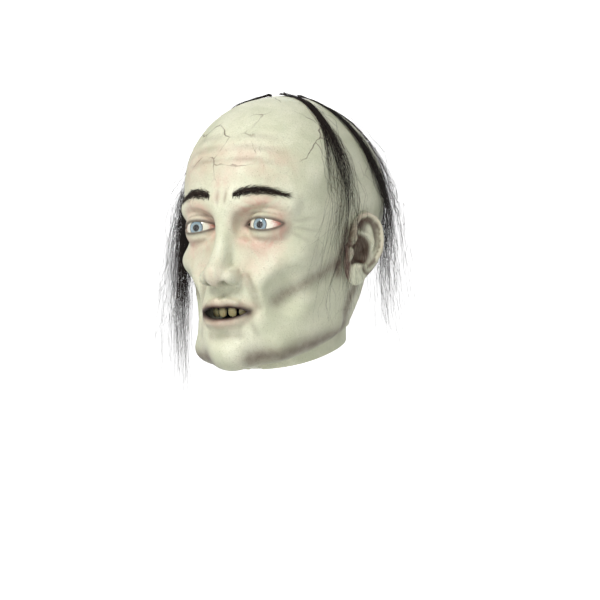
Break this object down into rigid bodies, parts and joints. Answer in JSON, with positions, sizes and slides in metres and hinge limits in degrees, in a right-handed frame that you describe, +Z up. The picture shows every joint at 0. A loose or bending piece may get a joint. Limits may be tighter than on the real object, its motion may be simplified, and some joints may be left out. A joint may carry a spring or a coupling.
{
  "type": "latex halloween mask",
  "caption": "Full-head latex costume mask with a bald scalp, glued-in eyes and teeth, thin long hair locks and a slit up the back.",
  "frame": {"origin": "centre of the crown pad's flat underside, where the top of the wearer's head sits", "axes": "+Z up through the crown, -Y the way the face looks, +X the wearer's left"},
  "size_m": [0.2138, 0.2463, 0.304],
  "materials": {
    "latex": "matte cast latex with airbrushed shading and fine pores",
    "eye_white": "gloss, off-white acrylic with fine veins",
    "iris": "gloss, pale blue-grey print with a dark rim",
    "cornea": "clear polished acrylic",
    "gauze": "black open gauze",
    "backing_cloth": "latex-soaked cotton strip",
    "brow_hair": "satin black synthetic hair",
    "tooth": "gloss, stained yellow cast resin",
    "gum": "dark painted rubber with a wet gloss",
    "foam": "grey open-cell foam",
    "hair": "satin black synthetic hair"
  },
  "bodies": {
    "mask": {"brow_left": "brow_hair", "brow_right": "brow_hair", "cornea_left": "cornea", "cornea_right": "cornea", "crown_pad": "foam", "eye_patch_left": "backing_cloth", "eye_patch_right": "backing_cloth", "eye_white_left": "eye_white", "eye_white_right": "eye_white", "forehead_pad": "foam", "iris_left": "iris", "iris_right": "iris", "latex_skin": "latex", "mouth_gauze": "gauze", "sight_gauze_left": "gauze", "sight_gauze_right": "gauze", "slit_tape": "backing_cloth", "temple_pad_left": "foam", "temple_pad_right": "foam", "tooth_left_1": "tooth", "tooth_left_2": "tooth", "tooth_left_3": "tooth", "tooth_left_4": "tooth", "tooth_left_5": "tooth", "tooth_right_1": "tooth", "tooth_right_2": "tooth", "tooth_right_3": "tooth", "tooth_right_4": "tooth", "tooth_right_5": "tooth", "upper_gum": "gum", "weft_front_left": "backing_cloth", "weft_front_right": "backing_cloth", "weft_middle_left": "backing_cloth", "weft_middle_right": "backing_cloth", "weft_rear_left": "backing_cloth", "weft_rear_right": "backing_cloth"},
    "hair_front_left": {"hair_front_left": "hair"},
    "hair_front_right": {"hair_front_right": "hair"},
    "hair_middle_left": {"hair_middle_left": "hair"},
    "hair_middle_right": {"hair_middle_right": "hair"},
    "hair_rear_left": {"hair_rear_left": "hair"},
    "hair_rear_right": {"hair_rear_right": "hair"},
    "rear_flap_left": {"rear_flap_left": "latex"},
    "rear_flap_right": {"rear_flap_right": "latex"}
  },
  "joints": [
    {"name": "rear_flap_left_bend", "type": "hinge", "parent": "mask", "child": "rear_flap_left", "pos_m": [0.03825, 0.0522, -0.2227], "axis": [0, -0.3625, -0.932], "range_deg": [0, 35], "stiffness_Nm_per_rad": 0.015, "springref_deg": -5.73},
    {"name": "rear_flap_right_bend", "type": "hinge", "parent": "mask", "child": "rear_flap_right", "pos_m": [-0.03825, 0.0522, -0.2227], "axis": [0, 0.3625, 0.932], "range_deg": [0, 35], "stiffness_Nm_per_rad": 0.015, "springref_deg": -5.73},
    {"name": "hair_front_left_lift", "type": "hinge", "parent": "mask", "child": "hair_front_left", "pos_m": [0.00904, -0.01291, 0.02135], "axis": [-0.348, -0.9354, -0.0629], "range_deg": [0, 22]},
    {"name": "hair_middle_left_lift", "type": "hinge", "parent": "mask", "child": "hair_middle_left", "pos_m": [0.02372, 0.00208, 0.02129], "axis": [0.0706, -0.9975, -0.004], "range_deg": [0, 22]},
    {"name": "hair_rear_left_lift", "type": "hinge", "parent": "mask", "child": "hair_rear_left", "pos_m": [0.0191, 0.03057, 0.0202], "axis": [0.7943, -0.6063, -0.0387], "range_deg": [0, 22]},
    {"name": "hair_front_right_lift", "type": "hinge", "parent": "mask", "child": "hair_front_right", "pos_m": [-0.00988, -0.01711, 0.02133], "axis": [-0.4166, 0.9056, 0.0797], "range_deg": [0, 22]},
    {"name": "hair_middle_right_lift", "type": "hinge", "parent": "mask", "child": "hair_middle_right", "pos_m": [-0.02372, 0.00208, 0.02129], "axis": [0.0706, 0.9975, 0.004], "range_deg": [0, 22]},
    {"name": "hair_rear_right_lift", "type": "hinge", "parent": "mask", "child": "hair_rear_right", "pos_m": [-0.0191, 0.03057, 0.0202], "axis": [0.7943, 0.6063, 0.0387], "range_deg": [0, 22]}
  ]
}
